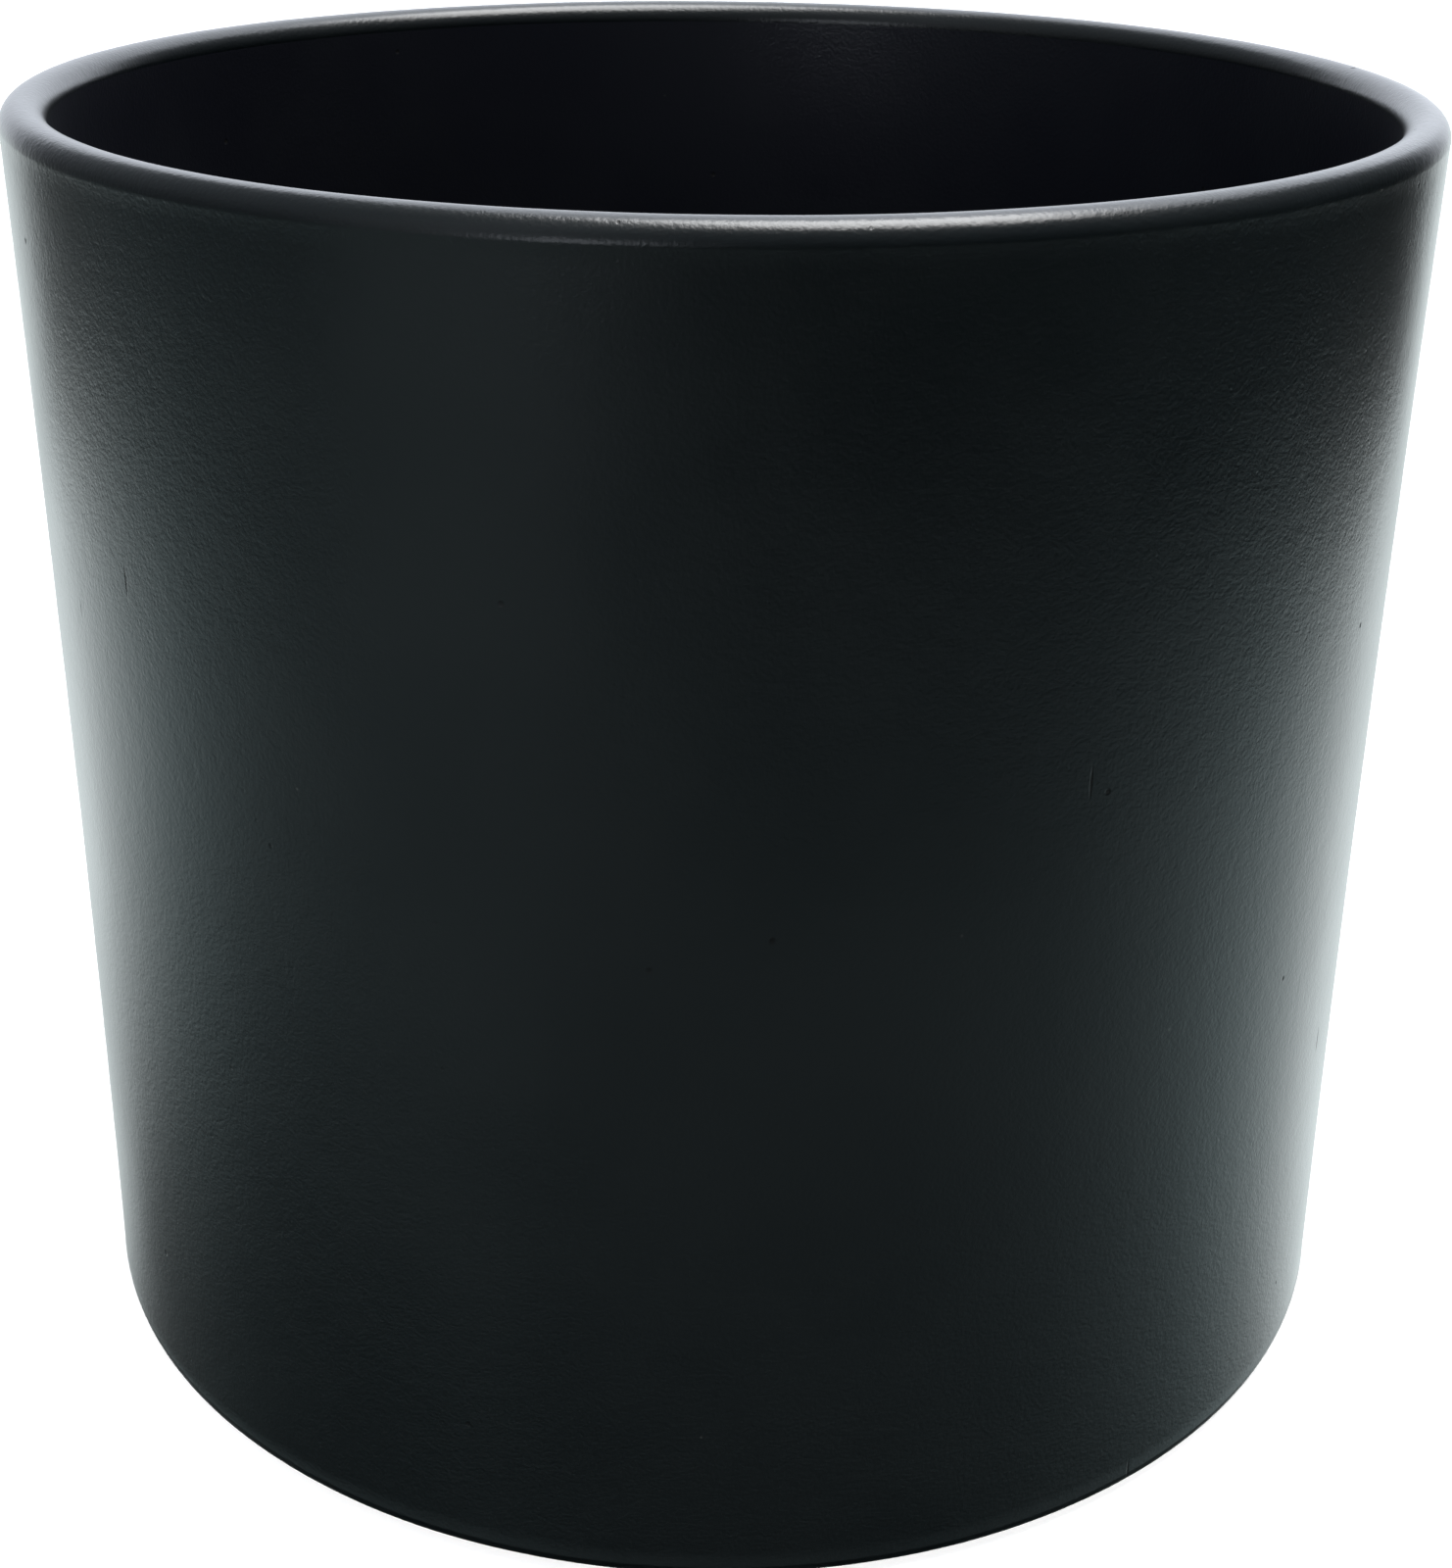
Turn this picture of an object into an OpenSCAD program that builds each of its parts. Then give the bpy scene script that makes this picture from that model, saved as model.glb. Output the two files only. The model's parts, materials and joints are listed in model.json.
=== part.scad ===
// Straight-sided ceramic candle jar, empty and without a lid.
// One fired clay body carries a black glaze in three separate coats: outside and
// rim, inside, and the hollow under the base. Only the ring it stands on is bare.
// Origin: centre of the foot on the table. +Z is up, along the jar's axis.

/* [Jar] */
// Outside diameter, over the glaze
outer_d = 100; // [70:1:130]
// Height from the table to the top of the rim
jar_h = 92; // [60:1:130]
// Wall thickness, with the glaze on both faces
wall_t = 3.2; // [2.6:0.1:5]
// Floor thickness at the middle, with the glaze on both faces
floor_t = 5; // [4:0.1:8]

/* [Corners] */
// Outside radius where the wall turns under to the foot
heel_r = 2; // [1.5:0.1:4]
// Inside radius where the wall meets the floor
floor_fillet_r = 6; // [2:0.5:12]

/* [Foot] */
// Width of the flat ring that the jar stands on
foot_w = 5.5; // [3:0.5:10]
// Depth of the hollow inside the ring, up to its glaze
hollow_h = 1.2; // [1:0.1:2.5]

/* [Glaze] */
// Thickness of every glaze coat
glaze_t = 0.5; // [0.3:0.05:0.6]
// Height above the table at which the glaze stops on the foot
glaze_line_h = 0.6; // [0.5:0.05:0.9]

/* [Hidden] */
$fn = 128;

glaze_black = [0.035, 0.04, 0.045];
clay_cream = [0.78, 0.72, 0.63];

// Sizes of the bare clay, without its glaze
clay_r = outer_d / 2 - glaze_t;
clay_bore_r = outer_d / 2 - wall_t + glaze_t;
clay_floor_z = hollow_h + floor_t - glaze_t;
clay_hollow_z = hollow_h + glaze_t;
clay_heel_r = heel_r - glaze_t;
clay_fillet_r = floor_fillet_r + glaze_t;

// Centre of the full round that closes the top of the wall
rim_r = outer_d / 2 - wall_t / 2;
rim_z = jar_h - wall_t / 2;

// Inner edge of the foot ring, and the radius that blends it into the hollow
foot_in_r = clay_r - clay_heel_r - foot_w;
hollow_round_r = 1;

// Half of the jar's outline with a skin of thickness skin_t on the clay
module block(skin_t) {
    square_from([0, -skin_t], [clay_r - clay_heel_r, rim_z]);
    square_from([0, clay_heel_r], [clay_r + skin_t, rim_z]);
    translate([clay_r - clay_heel_r, clay_heel_r]) circle(r = clay_heel_r + skin_t);
}

// The space inside the jar, up to the start of the rim
module cavity(skin_t) {
    centre_r = clay_bore_r - clay_fillet_r;
    centre_z = clay_floor_z + clay_fillet_r;
    square_from([0, clay_floor_z + skin_t], [centre_r, rim_z + 1]);
    square_from([0, centre_z], [clay_bore_r - skin_t, rim_z + 1]);
    translate([centre_r, centre_z]) circle(r = clay_fillet_r - skin_t);
}

// The shallow hollow inside the foot ring
module hollow(skin_t) {
    centre_r = foot_in_r - hollow_round_r;
    centre_z = clay_hollow_z - hollow_round_r;
    square_from([0, -1], [centre_r, clay_hollow_z - skin_t]);
    square_from([0, -1], [foot_in_r - skin_t, centre_z]);
    translate([centre_r, centre_z]) circle(r = hollow_round_r - skin_t);
}

module rim_round(skin_t) {
    translate([rim_r, rim_z]) circle(r = clay_r - rim_r + skin_t);
}

module jar_section(skin_t) {
    difference() {
        block(skin_t);
        cavity(skin_t);
        hollow(skin_t);
    }
    rim_round(skin_t);
}

// All the glaze: what the skin adds to the clay, above the bare foot
module glaze_section() {
    difference() {
        jar_section(glaze_t);
        jar_section(0);
        square_from([0, -1], [outer_d, glaze_line_h]);
    }
}

// A rectangle given by its lowest and highest corners
module square_from(low, high) {
    translate(low) square([high[0] - low[0], high[1] - low[1]]);
}

// Fired stoneware: wall, floor and foot ring in one piece
module clay_body() {
    color(clay_cream) rotate_extrude() jar_section(0);
}

// Sprayed coat: up the outside from the glaze line and over the rim
module outer_glaze() {
    color(glaze_black) rotate_extrude() intersection() {
        glaze_section();
        union() {
            square_from([rim_r, 0], [outer_d, jar_h]);
            square_from([0, rim_z], [outer_d, jar_h]);
        }
    }
}

// Poured coat: the inside wall below the rim, the fillet and the floor
module liner_glaze() {
    color(glaze_black) rotate_extrude() intersection() {
        glaze_section();
        square_from([0, clay_hollow_z], [rim_r, rim_z]);
    }
}

// Coat on the hollow under the base, fenced off by the bare foot ring
module base_glaze() {
    color(glaze_black) rotate_extrude() intersection() {
        glaze_section();
        square_from([0, 0], [foot_in_r, clay_hollow_z]);
    }
}

clay_body();
outer_glaze();
liner_glaze();
base_glaze();
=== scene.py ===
"""Looks of the empty stoneware candle jar in satin black glaze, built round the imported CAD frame."""
import functools
import json
import math

import bmesh
import bpy
from mathutils import Euler, Matrix, Vector, noise


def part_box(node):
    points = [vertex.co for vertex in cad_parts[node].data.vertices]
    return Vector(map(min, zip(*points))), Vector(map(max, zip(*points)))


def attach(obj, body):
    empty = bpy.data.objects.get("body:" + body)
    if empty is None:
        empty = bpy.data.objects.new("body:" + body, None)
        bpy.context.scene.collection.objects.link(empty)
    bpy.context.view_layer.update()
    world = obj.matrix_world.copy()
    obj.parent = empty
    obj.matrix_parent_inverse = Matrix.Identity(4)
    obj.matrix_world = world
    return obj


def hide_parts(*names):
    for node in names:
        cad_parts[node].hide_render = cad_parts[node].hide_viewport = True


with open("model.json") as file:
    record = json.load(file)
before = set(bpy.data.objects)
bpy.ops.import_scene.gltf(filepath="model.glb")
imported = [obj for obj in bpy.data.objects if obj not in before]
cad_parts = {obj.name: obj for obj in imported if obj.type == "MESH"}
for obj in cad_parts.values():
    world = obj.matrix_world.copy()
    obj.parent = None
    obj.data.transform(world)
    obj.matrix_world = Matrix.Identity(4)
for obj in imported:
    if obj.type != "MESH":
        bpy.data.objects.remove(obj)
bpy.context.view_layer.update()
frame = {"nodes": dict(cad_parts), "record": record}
MM = 0.001

# ---------------------------------------------------------------- sizes, all read from the frame
MOUTH = next(m for m in frame["record"]["mounts"] if m["name"] == "mouth")
CLAY_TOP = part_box("clay_body")[1]
COAT_LOW, COAT_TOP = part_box("outer_glaze")
LINER_LOW, LINER_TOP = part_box("liner_glaze")
BASE_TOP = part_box("base_glaze")[1]

OUT_R = COAT_TOP.x                      # outside radius over the glaze
JAR_H = COAT_TOP.z                      # height of the rim over the table
CLAY_R = CLAY_TOP.x                     # outside radius of the bare clay
COAT = JAR_H - CLAY_TOP.z               # thickness of every glaze coat
RIM_Z = LINER_TOP.z                     # height of the rim round's centre
RIM_ROUND = JAR_H - RIM_Z               # radius of the rim round over the glaze
RIM_R = OUT_R - RIM_ROUND               # distance of its centre from the axis
BORE_R = RIM_R - RIM_ROUND              # inside radius over the glaze
FLOOR_Z = LINER_LOW.z + COAT            # height of the glazed floor inside
FILLET = RIM_Z - FLOOR_Z - MOUTH["dims"]["length_mm"] * MM
FILLET_R = BORE_R - FILLET              # distance of the fillet's centre from the axis
FILLET_Z = FLOOR_Z + FILLET             # height of the fillet's centre
GLAZE_LINE = COAT_LOW.z                 # height at which the glaze stops over the table
HOLLOW_R = BASE_TOP.x                   # inner edge of the foot ring
HOLLOW_Z = BASE_TOP.z - COAT            # glazed ceiling of the hollow under the base


def foot_outer_radius():
    """Outer edge of the flat ring that the clay stands on."""
    points = frame["nodes"]["clay_body"].data.vertices
    return max(math.hypot(v.co.x, v.co.y) for v in points if v.co.z < 0.01 * MM)


FOOT_R = foot_outer_radius()
HEEL = OUT_R - FOOT_R                   # outside radius of the heel over the glaze
HEEL_Z = HEEL - COAT                    # height of the heel round's centre

# ---------------------------------------------------------------- sizes that the frame doesn't give
HOLLOW_ROUND = 1.0 * MM                 # radius between the hollow's ceiling and the foot ring, in the clay
BEAD = COAT / 2                         # radius of a coat's rolled edge
SEGMENTS = 384                          # steps round the axis
WALL_STEP = 1.1 * MM                    # steps up a wall that is seen
HIDDEN_WALL_STEP = 3 * MM               # steps up a wall under the glaze
HIDDEN_FLAT_STEP = 4 * MM               # steps across a flat face under the glaze
SHARP_CORNER = 35                       # degrees past which an edge is kept sharp

# ---------------------------------------------------------------- hand-made irregularity
WAIST = 0.32 * MM                       # how far the wall draws in between foot and rim
SWELL = 0.07 * MM                       # depth of the slow waves in the glaze skin
SWELL_RATE = 42                         # slow waves to the metre
RIPPLE = 0.016 * MM                     # depth of the short waves on top of them
RIPPLE_RATE = 190                       # short waves to the metre
FADE_POINTS = 20                        # the waves fade out over this many points of an outline
EDGE_WANDER = 5.0                       # degrees round the heel by which the glaze edge wanders
BASE_EDGE_WANDER = 0.12 * MM            # how far the base coat's edge wanders up the foot ring
POOL = 0.25 * MM                        # extra fillet radius where the glaze pooled in the corner
FLOOR_DIP = 0.18 * MM                   # how far the glazed floor dips at its centre
WORN = 0.25 * MM                        # radius worn on the foot ring's inner corner
GRIND = 0.04 * MM                       # unevenness that the grinding left on the foot


# ---------------------------------------------------------------- outlines in the (radius, height) plane
def arc(centre, radius, start, end, steps):
    """Points on a circle, from a start angle to an end angle in degrees."""
    turns = [math.radians(start + (end - start) * i / steps) for i in range(steps + 1)]
    return [(centre[0] + radius * math.cos(t), centre[1] + radius * math.sin(t)) for t in turns]


def line(start, end, step=WALL_STEP):
    """Points strictly between two points, no further apart than step."""
    length = math.dist(start, end)
    count = max(1, math.ceil(length / step))
    return [
        (start[0] + (end[0] - start[0]) * i / count, start[1] + (end[1] - start[1]) * i / count)
        for i in range(1, count)
    ]


def waisted(face, amount=WAIST):
    """The face drawn in towards the axis: not at all at foot and rim, by amount halfway up."""
    drawn = []
    for radius, height in face:
        share = min(max(height / JAR_H, 0), 1)
        drawn.append((radius - amount * 4 * share * (1 - share), height))
    return drawn


def clay_wall():
    """The clay under the outside glaze, from the heel up to the rim round."""
    low, top = (CLAY_R, HEEL_Z), (CLAY_R, RIM_Z)
    return waisted([low, *line(low, top, HIDDEN_WALL_STEP), top], WAIST / 2)


def clay_inside():
    """The clay under the inside glaze, from the middle of the floor up to the rim round."""
    floor_z, bore_r = FLOOR_Z - COAT, BORE_R + COAT
    return [
        (0, floor_z),
        *line((0, floor_z), (FILLET_R, floor_z), HIDDEN_FLAT_STEP),
        *arc((FILLET_R, FILLET_Z), FILLET + COAT, -90, 0, 12),
        *line((bore_r, FILLET_Z), (bore_r, RIM_Z), HIDDEN_WALL_STEP),
        (bore_r, RIM_Z),
    ]


# ---------------------------------------------------------------- noise in the shapes
def waves(x, y, z):
    """Depth of the glaze skin's waves at a point, from 0 to SWELL + RIPPLE."""
    slow = noise.noise(Vector((x, y, z * 0.6)) * SWELL_RATE)
    short = noise.noise(Vector((x, y, z)) * RIPPLE_RATE + Vector((7, 3, 5)))
    return SWELL * (0.5 + 0.5 * slow) + RIPPLE * (0.5 + 0.5 * short)


def wander(azimuth, reach, level):
    """Smooth noise from 0 to 1 round the jar. A larger reach has more waves, a level picks other ones."""
    return 0.5 + 0.5 * noise.noise(Vector((math.cos(azimuth) * reach, math.sin(azimuth) * reach, level)))


def sink(face, azimuth):
    """The face moved into the body by the depth of the waves, which fade out at both its ends."""
    sunk = [face[0]]
    for j in range(1, len(face) - 1):
        (r1, h1), (radius, height), (r2, h2) = face[j - 1:j + 2]
        along = Vector((r2 - r1, h2 - h1)).normalized()
        share = min(1, j / FADE_POINTS, (len(face) - 1 - j) / FADE_POINTS)
        depth = share * share * (3 - 2 * share)
        depth *= waves(radius * math.cos(azimuth), radius * math.sin(azimuth), height)
        sunk.append((radius - depth * along.y, height + depth * along.x))
    return sunk + [face[-1]]


# ---------------------------------------------------------------- meshes
def lathe(name, section, waved=True):
    """Turns an outline round the axis into one closed mesh.
    section(azimuth) gives its open face and its hidden face, each a list of (radius, height).
    The open face has the body on its left, and the waves sink it unless waved is False."""
    mesh = bmesh.new()
    rings = []
    for i in range(SEGMENTS):
        azimuth = 2 * math.pi * i / SEGMENTS
        open_face, hidden_face = section(azimuth)
        if waved:
            open_face = sink(open_face, azimuth)
        ring = []
        for j, (radius, height) in enumerate(open_face + hidden_face):
            if radius < 1e-9 and i:
                ring.append(rings[0][j])
            else:
                ring.append(mesh.verts.new((radius * math.cos(azimuth), radius * math.sin(azimuth), height)))
        rings.append(ring)
    for i in range(SEGMENTS):
        here, there = rings[i], rings[(i + 1) % SEGMENTS]
        for j in range(len(here)):
            k = (j + 1) % len(here)
            corners = [here[j], here[k], there[k], there[j]]
            unique = [v for n, v in enumerate(corners) if v not in corners[:n]]
            if len(unique) > 2:
                mesh.faces.new(unique)
    return finish_mesh(name, mesh)


def finish_mesh(name, mesh):
    """Makes an object of a bmesh: normals outward, smooth, with its true corners kept sharp."""
    bmesh.ops.recalc_face_normals(mesh, faces=mesh.faces)
    for face in mesh.faces:
        face.smooth = True
    for edge in mesh.edges:
        edge.smooth = edge.calc_face_angle(0) < math.radians(SHARP_CORNER)
    return add_object(name, mesh)


def add_object(name, mesh):
    """Makes an object of a bmesh as it is, and puts it in the scene."""
    data = bpy.data.meshes.new(name)
    mesh.to_mesh(data)
    mesh.free()
    made = bpy.data.objects.new(name, data)
    bpy.context.scene.collection.objects.link(made)
    return made


def stand_for(piece, node, material):
    """The piece takes the place of a CAD node and gets its material."""
    piece.data.materials.append(material)
    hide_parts(node)
    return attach(piece, "root")


# ---------------------------------------------------------------- the four pieces
def clay_piece(material):
    """Fired clay: ground foot ring with worn edges, wall, rim and floor under the glaze."""
    ceiling = HOLLOW_Z + COAT
    round_r, round_z = HOLLOW_R - HOLLOW_ROUND, ceiling - HOLLOW_ROUND
    hidden_face = [
        *clay_wall(),
        *arc((RIM_R, RIM_Z), RIM_ROUND - COAT, 0, 180, 16)[1:],
        *clay_inside()[-2::-1],
        (0, ceiling),
        *line((0, ceiling), (round_r, ceiling), HIDDEN_FLAT_STEP),
        *arc((round_r, round_z), HOLLOW_ROUND, 90, 0, 8),
    ]

    def section(azimuth):
        ground = GRIND * wander(azimuth, 2, 8)
        open_face = [
            *arc((HOLLOW_R + WORN, WORN + ground), WORN, 180, 270, 5),
            *line((HOLLOW_R + WORN, ground), (FOOT_R - WORN, 0), 0.8 * MM),
            *arc((FOOT_R, HEEL_Z), HEEL_Z, 270, 360, 14),
        ]
        return open_face, hidden_face[1:]

    piece = lathe("clay_body_looks", section, waved=False)
    return stand_for(piece, "clay_body", material)


def outer_piece(material):
    """Sprayed coat: rolled wiped edge on the heel, slightly waisted wall and full-round rim."""
    start = math.degrees(math.asin((GLAZE_LINE + BEAD - HEEL_Z) / (HEEL - BEAD)))
    low, top = (OUT_R, HEEL_Z), (OUT_R, RIM_Z)
    wall = waisted([low, *line(low, top), top])
    rim = arc((RIM_R, RIM_Z), RIM_ROUND, 0, 180, 40)[1:]
    clay_rim = arc((RIM_R, RIM_Z), RIM_ROUND - COAT, 180, 0, 16)[:-1]

    def section(azimuth):
        edge = start + EDGE_WANDER * wander(azimuth, 3, 1)
        turn = math.radians(edge)
        tip = (FOOT_R + (HEEL - BEAD) * math.cos(turn), HEEL_Z + (HEEL - BEAD) * math.sin(turn))
        open_face = [
            *arc(tip, BEAD, edge - 80, edge, 7),
            *arc((FOOT_R, HEEL_Z), HEEL, edge, 0, 7)[1:-1],
            *wall,
            *rim,
        ]
        hidden_face = [
            *clay_rim,
            *reversed(clay_wall()),
            *arc((FOOT_R, HEEL_Z), HEEL - COAT, 0, edge, 5)[1:],
            *arc(tip, BEAD, edge + 180, edge + 280, 6)[1:-1],
        ]
        return open_face, hidden_face

    piece = lathe("outer_glaze_looks", section)
    return stand_for(piece, "outer_glaze", material)


def liner_piece(material):
    """Poured coat: inside wall, corner where the glaze pooled, and a slightly dished floor."""
    corner = (FILLET_R - POOL, FILLET_Z + POOL)
    floor_r = corner[0]

    def floor_line(radius):
        share = radius / floor_r
        return FLOOR_Z - FLOOR_DIP * (1 - share * share) ** 2

    open_face = [
        (BORE_R, RIM_Z),
        *line((BORE_R, RIM_Z), (BORE_R, corner[1])),
        *arc(corner, FILLET + POOL, 0, -90, 18),
        *[(radius, floor_line(radius)) for radius, _ in line((floor_r, 0), (0, 0), 1.3 * MM)],
        (0, floor_line(0)),
    ]

    piece = lathe("liner_glaze_looks", lambda azimuth: (open_face, clay_inside()))
    return stand_for(piece, "liner_glaze", material)


def base_piece(material):
    """Thin coat in the hollow under the base, with a rolled edge that wanders on the foot ring."""
    ceiling = HOLLOW_Z + COAT
    centre = (HOLLOW_R - HOLLOW_ROUND, ceiling - HOLLOW_ROUND)

    def section(azimuth):
        edge = GLAZE_LINE + BEAD + BASE_EDGE_WANDER * wander(azimuth, 4, 9)
        open_face = [
            (0, HOLLOW_Z),
            *line((0, HOLLOW_Z), (centre[0], HOLLOW_Z), 2 * MM),
            *arc(centre, HOLLOW_ROUND - COAT, 90, 20, 6),
            *arc((HOLLOW_R - BEAD, edge), BEAD, 180, 350, 8),
        ]
        hidden_face = [
            *arc(centre, HOLLOW_ROUND, 15, 90, 8),
            *line((centre[0], ceiling), (0, ceiling), HIDDEN_FLAT_STEP),
            (0, ceiling),
        ]
        return open_face, hidden_face

    piece = lathe("base_glaze_looks", section)
    return stand_for(piece, "base_glaze", material)


# ---------------------------------------------------------------- node helpers
class Graph:
    """A node tree with one short call for each kind of node."""

    def __init__(self, tree):
        self.tree = tree
        tree.nodes.clear()

    def node(self, kind, inputs=(), **settings):
        made = self.tree.nodes.new(kind)
        for key, value in settings.items():
            setattr(made, key, value)
        for key, value in dict(inputs).items():
            self.put(made.inputs[key], value)
        return made

    def put(self, socket, value):
        if isinstance(value, bpy.types.NodeSocket):
            self.tree.links.new(value, socket)
        else:
            socket.default_value = value

    def math(self, operation, *values):
        return self.node("ShaderNodeMath", enumerate(values), operation=operation).outputs[0]

    def plus(self, a, b):
        return self.math("ADD", a, b)

    def minus(self, a, b):
        return self.math("SUBTRACT", a, b)

    def times(self, a, b):
        return self.math("MULTIPLY", a, b)

    def larger(self, a, b):
        return self.math("MAXIMUM", a, b)

    def across(self, x, y):
        """Distance of a point from the vertical axis."""
        return self.math("SQRT", self.plus(self.math("POWER", x, 2.0), self.math("POWER", y, 2.0)))

    def ramp(self, value, low, high, start=0.0, end=1.0):
        """Goes smoothly from start to end as value goes from low to high."""
        inputs = {"Value": value, "From Min": low, "From Max": high, "To Min": start, "To Max": end}
        return self.node("ShaderNodeMapRange", inputs, interpolation_type="SMOOTHSTEP").outputs[0]

    def noise(self, where, size, detail=2.0, roughness=0.5):
        """Noise from 0 to 1 with features of about this size, in metres."""
        inputs = {"Vector": where, "Scale": 1 / size, "Detail": detail, "Roughness": roughness}
        return self.node("ShaderNodeTexNoise", inputs).outputs[0]

    def mix(self, share, a, b):
        """Colour a where share is 0, and colour b where it is 1."""
        made = self.node("ShaderNodeMix", data_type="RGBA")
        self.put(made.inputs[0], share)
        self.put(made.inputs[6], a)
        self.put(made.inputs[7], b)
        return made.outputs[2]

    def surface(self, inputs, height=None):
        """Ends a material in a principled shader, with a height in metres for its relief."""
        if height:
            bump = self.node("ShaderNodeBump", {"Strength": 1.0, "Distance": 1.0, "Height": height})
            inputs["Normal"] = bump.outputs[0]
        shader = self.node("ShaderNodeBsdfPrincipled", inputs)
        self.node("ShaderNodeOutputMaterial", {"Surface": shader.outputs[0]})


def rgb(red, green, blue):
    return (red, green, blue, 1.0)


def new_material(name):
    """A new material, its empty node graph, and the place on the object in metres."""
    made = bpy.data.materials.new(name)
    made.use_nodes = True
    g = Graph(made.node_tree)
    return made, g, g.node("ShaderNodeTexCoord").outputs["Object"]


def pits(g, where, spacing, radius, share):
    """1 inside small round pits, 0 elsewhere. The cells are spacing wide, and a share of them has one."""
    cells = g.node("ShaderNodeTexVoronoi", {"Vector": where, "Scale": 1 / spacing})
    draw = g.node("ShaderNodeSeparateColor", {0: cells.outputs["Color"]}).outputs[0]
    chosen = g.math("GREATER_THAN", draw, 1 - share)
    return g.times(g.ramp(cells.outputs["Distance"], radius / spacing, 0.4 * radius / spacing), chosen)


# ---------------------------------------------------------------- materials
PEEL = 0.003 * MM                       # unit in which a glaze's relief is given
FINE_PEEL, MIDDLE_PEEL = 7, 5           # depth of the fine and of the middle noise, in that unit
GRAIN_PEEL = 1.5                        # depth of the grain's pits, in that unit
MARK_DEPTH = 0.03 * MM                  # depth of a pinhole or scuff
MARK_ROUGHNESS = 0.3                    # how much rougher the glaze is in one
MARK_TONE = rgb(0.0015, 0.0015, 0.0015)
SPECK_TONE = rgb(0.05, 0.05, 0.045)


def glaze_material(name, dark, light, satin_low, satin_high, peel=PEEL):
    """Black glaze: orange peel, grain, slow thickness changes, pinholes, short scuffs, pale specks."""
    made, g, where = new_material(name)
    fine = g.noise(where, 0.28 * MM)
    middle = g.noise(where, 1.3 * MM, 1.0)
    slow = g.noise(where, 14 * MM)
    grain = pits(g, where, 0.7 * MM, 0.13 * MM, 0.7)
    specks = pits(g, where, 5 * MM, 0.16 * MM, 0.35)
    pinholes = pits(g, where, 4 * MM, 0.28 * MM, 0.3)
    upright = g.node("ShaderNodeMapping", {"Vector": where, "Scale": (1.0, 1.0, 0.1)}).outputs[0]
    scuffs = pits(g, upright, 2.5 * MM, 0.14 * MM, 0.25)
    marks = g.larger(pinholes, scuffs)

    tone = g.mix(g.ramp(slow, 0.3, 0.7), dark, light)
    tone = g.mix(g.times(specks, 0.7), tone, SPECK_TONE)
    tone = g.mix(marks, tone, MARK_TONE)

    satin = g.plus(g.ramp(slow, 0.25, 0.75, satin_low, satin_high), g.ramp(fine, 0.3, 0.7, -0.004, 0.004))
    satin = g.plus(satin, g.times(marks, MARK_ROUGHNESS))

    height = g.plus(g.times(fine, peel * FINE_PEEL), g.times(middle, peel * MIDDLE_PEEL))
    height = g.minus(height, g.times(grain, peel * GRAIN_PEEL))
    height = g.minus(height, g.times(marks, MARK_DEPTH))
    g.surface({"Base Color": tone, "Roughness": satin, "IOR": 1.42}, height)
    return made


def outside_glaze():
    """Satin black with a hint of green and blue, which is painted light: the tint of the cool light put into
    the glaze's colour.
    """
    # painted light: the green and blue in these tones stand for the tint of the light; the glaze itself is
    # neutral black
    dark, light = rgb(0.0010, 0.0027, 0.0034), rgb(0.0022, 0.0041, 0.0046)
    return glaze_material("outside_glaze", dark, light, 0.280, 0.292)


def inside_glaze():
    """The same satin, a little bluer and paler: painted light, because no light from outside reaches most of
    it.
    """
    # painted light: these tones are raised and tinted blue to stand in for light on the inside
    dark, light = rgb(0.0120, 0.0130, 0.0185), rgb(0.0150, 0.0165, 0.0215)
    return glaze_material("inside_glaze", dark, light, 0.280, 0.292)


def underside_glaze():
    """A thin matt coat."""
    dark, light = rgb(0.006, 0.0065, 0.0065), rgb(0.010, 0.0105, 0.010)
    return glaze_material("underside_glaze", dark, light, 0.42, 0.52, 0.0035 * MM)


def bare_clay():
    """Fired cream stoneware: warm patches, dark iron specks, grog, grinding rings, and near-black towards
    the outer edge of the foot ring.
    """
    made, g, where = new_material("bare_clay")
    patches = g.noise(where, 6 * MM, 3.0)
    grog = g.noise(where, 0.5 * MM, 4.0, 0.65)
    iron = pits(g, where, 1.6 * MM, 0.22 * MM, 0.5)
    x, y, _ = g.node("ShaderNodeSeparateXYZ", {0: where}).outputs
    radius = g.across(x, y)
    rings = g.noise(g.node("ShaderNodeCombineXYZ", {0: radius}).outputs[0], 0.35 * MM, 3.0)
    # The clay goes near-black from the outer edge of the foot ring out over the heel.
    outer_edge_darkening = g.ramp(radius, FOOT_R - 0.1 * MM, FOOT_R + 0.5 * MM)

    tone = g.mix(g.ramp(patches, 0.3, 0.7), rgb(0.66, 0.56, 0.43), rgb(0.76, 0.69, 0.58))
    tone = g.mix(g.ramp(grog, 0.45, 0.75, 0.0, 0.5), tone, rgb(0.52, 0.43, 0.32))
    tone = g.mix(g.times(outer_edge_darkening, 0.95), tone, rgb(0.035, 0.024, 0.016))
    tone = g.mix(g.times(iron, 0.8), tone, rgb(0.10, 0.06, 0.04))

    height = g.plus(g.times(grog, 0.035 * MM), g.times(rings, 0.02 * MM))
    g.surface({"Base Color": tone, "Roughness": g.ramp(grog, 0.3, 0.7, 0.78, 0.92)}, height)
    return made


# ---------------------------------------------------------------- stage
FLOOR_RADIUS = 12.0
FLOOR_GAP = 0.05 * MM                   # how far the floor lies under the foot, so that they don't coincide


def floor_material():
    made, g, where = new_material("pale_floor")
    tone = g.mix(g.noise(where, 25 * MM), rgb(0.89, 0.89, 0.89), rgb(0.91, 0.91, 0.91))
    g.surface({"Base Color": tone, "Roughness": 0.9})
    return made


def add_floor():
    """Large pale floor. The glaze takes its reflections from the studio map instead."""
    mesh = bmesh.new()
    bmesh.ops.create_circle(mesh, cap_ends=True, segments=96, radius=FLOOR_RADIUS)
    floor = add_object("floor", mesh)
    floor.data.materials.append(floor_material())
    floor.location.z = -FLOOR_GAP
    floor.visible_glossy = False


# ---------------------------------------------------------------- studio map
def degrees_sine(angle):
    """Height z of a direction that points this many degrees up."""
    return math.sin(math.radians(angle))


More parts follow.
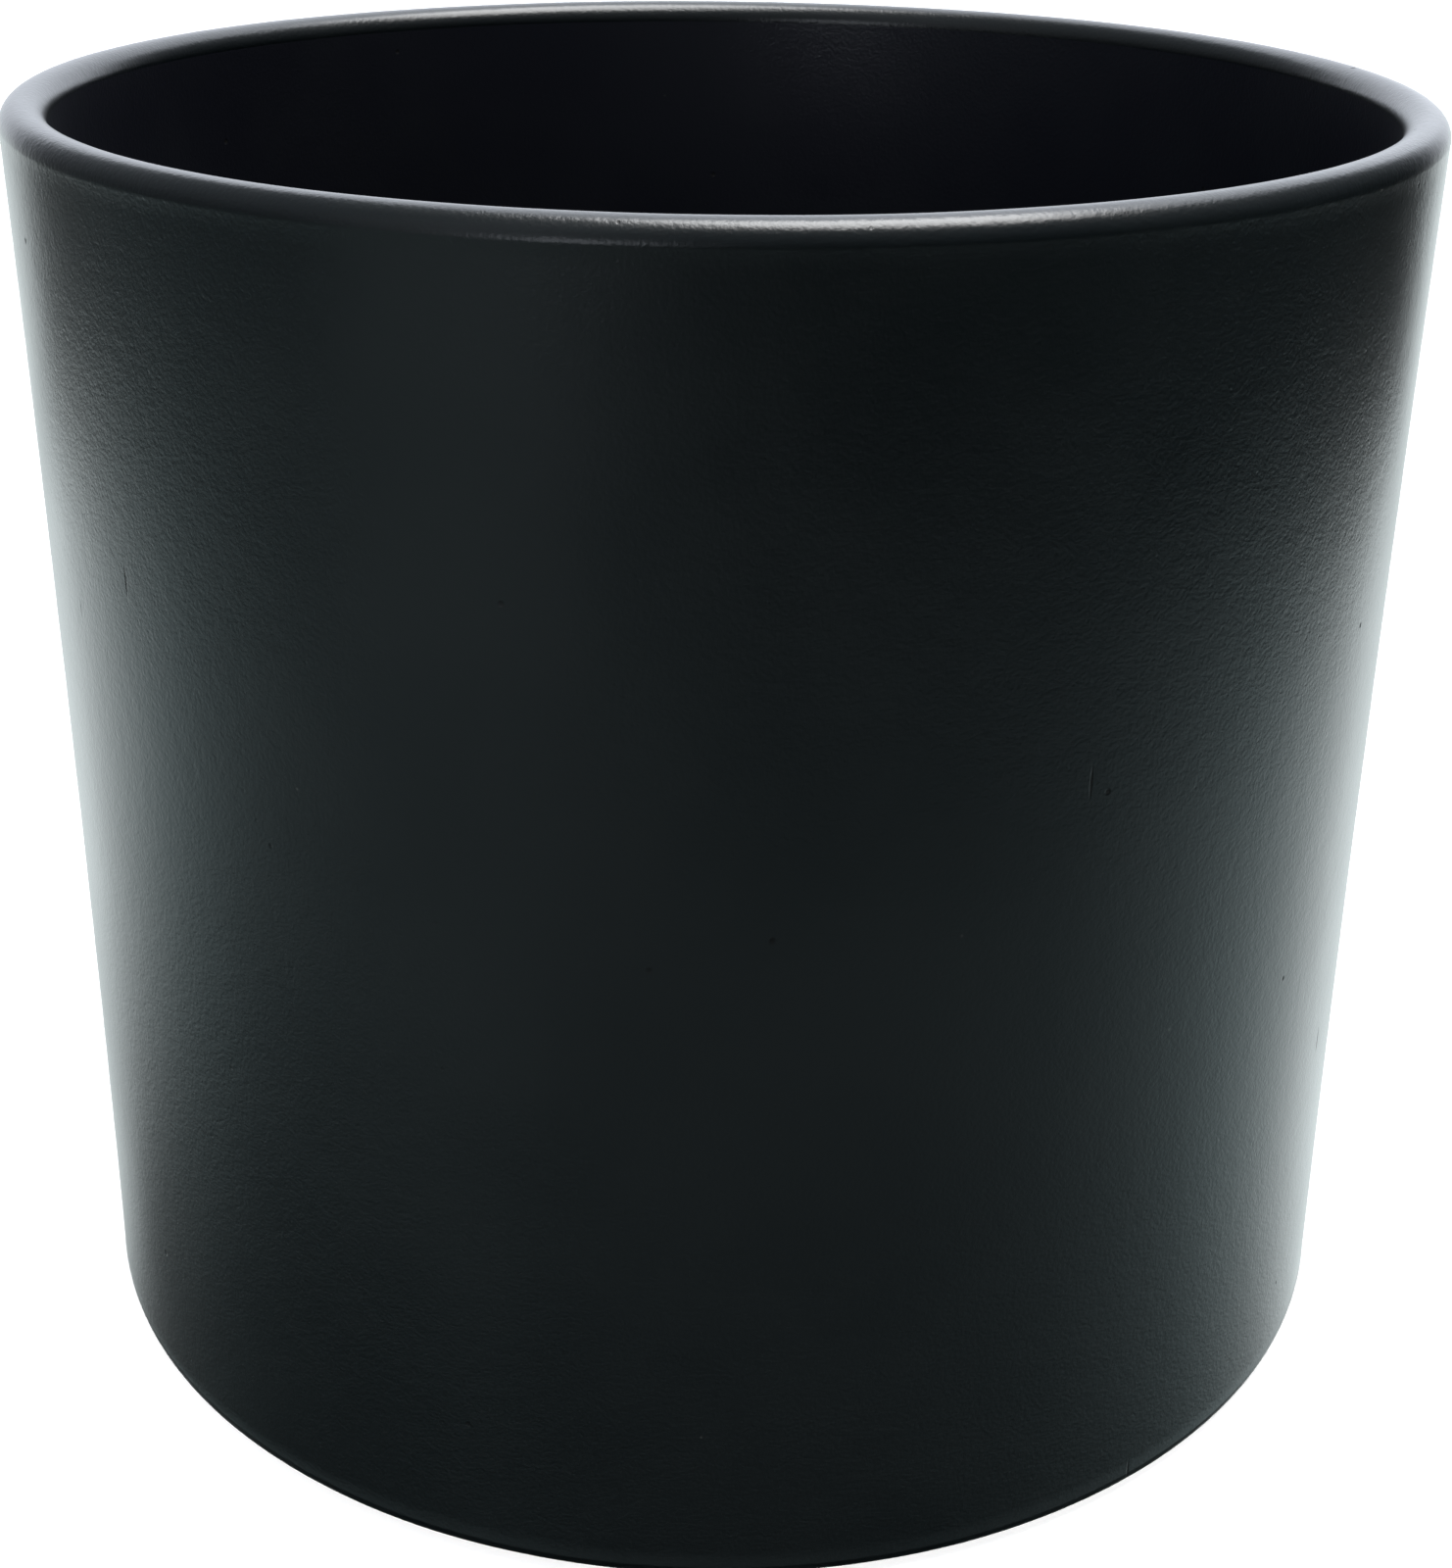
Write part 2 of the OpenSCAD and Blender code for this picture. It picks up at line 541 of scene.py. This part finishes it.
class Sky:
    """The direction in which the studio map is looked at: as x, y and z, and as its heading seen from
    above, where back is 1 straight behind the jar and side is 1 straight to its right."""

    def __init__(self, g):
        generated = g.node("ShaderNodeTexCoord").outputs["Generated"]
        self.x, self.y, self.z = g.node("ShaderNodeSeparateXYZ", {0: generated}).outputs
        level = g.larger(g.across(self.x, self.y), 0.001)
        self.back = g.math("DIVIDE", self.y, level)
        self.side = g.math("DIVIDE", self.x, level)


def toward(g, parts, aim):
    """How nearly a direction points at an aim: 1 straight at it. Both are given by their parts."""
    shares = [g.times(part, share) for part, share in zip(parts, aim)]
    return functools.reduce(g.plus, shares)


def foot_shade(g, sky):
    """What the jar leaves of the light near its own foot: 1 well away from it, and less on the left."""
    shadow = g.ramp(toward(g, (sky.side, sky.back), (-0.87, 0.5)), 0.2, 0.85, 0.0, 0.10)
    lean = g.minus(g.minus(sky.z, shadow), g.ramp(sky.back, -0.7, 0.1, -0.008, 0.03))
    return g.ramp(lean, degrees_sine(-33), degrees_sine(-44), 1.0, 0.06)


def sheet_light(g, sky):
    """The lit sheet on the table, brightest behind the jar, up to the sheet's far edge."""
    light = g.math("POWER", g.math("MULTIPLY_ADD", sky.back, 0.5, 0.5), 2.2)
    light = g.math("MULTIPLY_ADD", light, 2.6, 0.33)
    light = g.times(light, g.ramp(sky.back, 0.78, 0.96, 1.0, 0.52))
    # The far edge lies higher in view behind the jar, on the left, and in the corner at the back right.
    raised = g.plus(g.ramp(sky.back, -0.1, 0.7, 0.0, 0.05), g.ramp(sky.side, -0.4, 0.4, 0.02, -0.02))
    corner = g.times(g.ramp(sky.back, 0.55, 0.8, 0.0, 0.05), g.ramp(sky.side, 0.2, 0.5))
    raised = g.plus(raised, corner)
    return g.times(light, g.ramp(g.minus(sky.z, raised), -0.318, -0.366))


def sweep_light(g, sky):
    """The lit sweep behind the jar, from the table to overhead and brighter higher up."""
    # Its sides: it leans to the right higher up, and its right half is narrower at middle heights.
    turned = g.times(sky.side, g.ramp(sky.z, 0.0, 0.7, -0.05, 0.33))
    narrower = g.times(g.ramp(sky.z, 0.0, 0.45, 0.0, 0.3), g.ramp(sky.z, 0.6, 0.75, 1.0, 0.0))
    turned = g.minus(turned, g.times(g.larger(sky.side, 0.0), narrower))
    sector = g.ramp(g.plus(sky.back, turned), 0.71, 0.81)

    low = g.ramp(sky.z, degrees_sine(-18), degrees_sine(-13), 1.55, 1.95)
    high = g.ramp(sky.z, degrees_sine(4), degrees_sine(50), 0.0, 1.25)
    light = g.times(sector, g.plus(low, high))
    # A little brighter low on the right, and dark in the corner by the table on the left.
    right = g.times(g.ramp(sky.side, 0.1, 0.35, 0.0, 0.2), g.ramp(sky.z, 0.2, 0.4, 1.0, 0.0))
    light = g.math("MULTIPLY_ADD", light, right, light)
    corner = g.times(g.ramp(sky.side, 0.0, -0.3), g.ramp(sky.back, 0.64, 0.8))
    corner = g.times(corner, g.ramp(sky.z, -0.53, -0.61, 0.0, 0.85))
    return g.times(light, g.minus(1.0, corner))


def room_light(g, sky, shade):
    """The dim room, brighter on the left, overhead and at the front left, and a window behind the camera."""
    light = g.ramp(sky.side, -0.9, 0.2, 0.16, 0.03)
    light = g.plus(light, g.ramp(sky.z, 0.0, 0.7, 0.0, 0.25))
    front_left = toward(g, (sky.side, sky.back), (-0.66, -0.75))
    light = g.plus(light, g.ramp(front_left, 0.9, 0.99, 0.0, 0.25))
    light = g.times(light, shade)
    # The window is low and a little to the left.
    window = toward(g, (sky.x, sky.y, sky.z), (-0.37, -0.92, 0.14))
    return g.plus(light, g.ramp(window, 0.98, 0.996, 0.0, 3.2))


def map_tint(g, sky):
    """Cool light: greenest from the front, nearly neutral low behind, bluer from above."""
    tint = g.mix(g.ramp(sky.back, 0.1, 0.7), rgb(0.76, 0.97, 1.0), rgb(0.90, 0.99, 1.0))
    return g.mix(g.ramp(sky.z, -0.2, 0.1), tint, rgb(0.86, 0.91, 1.0))


def add_world():
    """Studio map that lights and is reflected, while the camera itself sees plain white."""
    world = bpy.data.worlds.new("studio")
    bpy.context.scene.world = world
    world.use_nodes = True
    g = Graph(world.node_tree)
    sky = Sky(g)
    shade = foot_shade(g, sky)
    sheet = g.times(sheet_light(g, sky), shade)
    light = g.larger(g.larger(sheet, sweep_light(g, sky)), room_light(g, sky, shade))

    seen = g.node("ShaderNodeLightPath").outputs["Is Camera Ray"]
    tint = g.mix(seen, map_tint(g, sky), rgb(1.0, 1.0, 1.0))
    power = g.plus(g.times(light, g.minus(1.0, seen)), seen)
    shown = g.node("ShaderNodeBackground", {"Color": tint, "Strength": power})
    g.node("ShaderNodeOutputWorld", {"Surface": shown.outputs[0]})


# ---------------------------------------------------------------- lamps and camera
OVERHEAD_SIZE = (0.42, 0.38)
OVERHEAD_PLACE = (0.135, 0.06, JAR_H + 0.62)
SOFTBOX_WATTS = 7.8
KEY_WATTS = 3.0
FILL_STRENGTH = 3.0
LENS_MM = 54.34
CAMERA_PLACE = (0, -3.475 * OUT_R, 2.331 * OUT_R)
CAMERA_PITCH = 24.615                   # degrees below level
CAMERA_TURN, CAMERA_ROLL = -0.00336, 0.01156    # radians


def add_overhead(name, energy):
    """A rectangular lamp over the jar, a little to the right, aimed at its mouth."""
    lamp = bpy.data.lights.new(name, "AREA")
    lamp.shape = "RECTANGLE"
    lamp.size, lamp.size_y = OVERHEAD_SIZE
    lamp.energy = energy
    place = bpy.data.objects.new(name, lamp)
    place.location = OVERHEAD_PLACE
    aim = Vector((0, 0, JAR_H)) - place.location
    place.rotation_euler = aim.to_track_quat("-Z", "Y").to_euler()
    bpy.context.scene.collection.objects.link(place)
    return place


def add_lights():
    """The softbox draws the bright line round the rim; key and fill light the pale floor."""
    add_overhead("softbox", SOFTBOX_WATTS).visible_diffuse = False
    add_overhead("key", KEY_WATTS).visible_glossy = False
    lamp = bpy.data.lights.new("fill", "SUN")
    lamp.energy = FILL_STRENGTH
    lamp.use_shadow = False
    fill = bpy.data.objects.new("fill", lamp)
    fill.visible_glossy = False
    bpy.context.scene.collection.objects.link(fill)


def add_camera():
    """Looks down at the jar from 12 cm in front of its rim and 2.5 cm above it."""
    camera = bpy.data.objects.new("camera", bpy.data.cameras.new("camera"))
    camera.data.sensor_width = 36.0
    camera.data.lens = LENS_MM
    camera.data.clip_start = 0.005
    camera.location = CAMERA_PLACE
    level = Euler((math.pi / 2 - math.radians(CAMERA_PITCH), 0, CAMERA_TURN)).to_matrix()
    camera.rotation_euler = (level @ Matrix.Rotation(CAMERA_ROLL, 3, "Z")).to_euler()
    bpy.context.scene.collection.objects.link(camera)
    bpy.context.scene.camera = camera


clay_piece(bare_clay())
outer_piece(outside_glaze())
liner_piece(inside_glaze())
base_piece(underside_glaze())

add_floor()
add_world()
add_lights()
add_camera()
bpy.context.scene.view_settings.view_transform = "Standard"
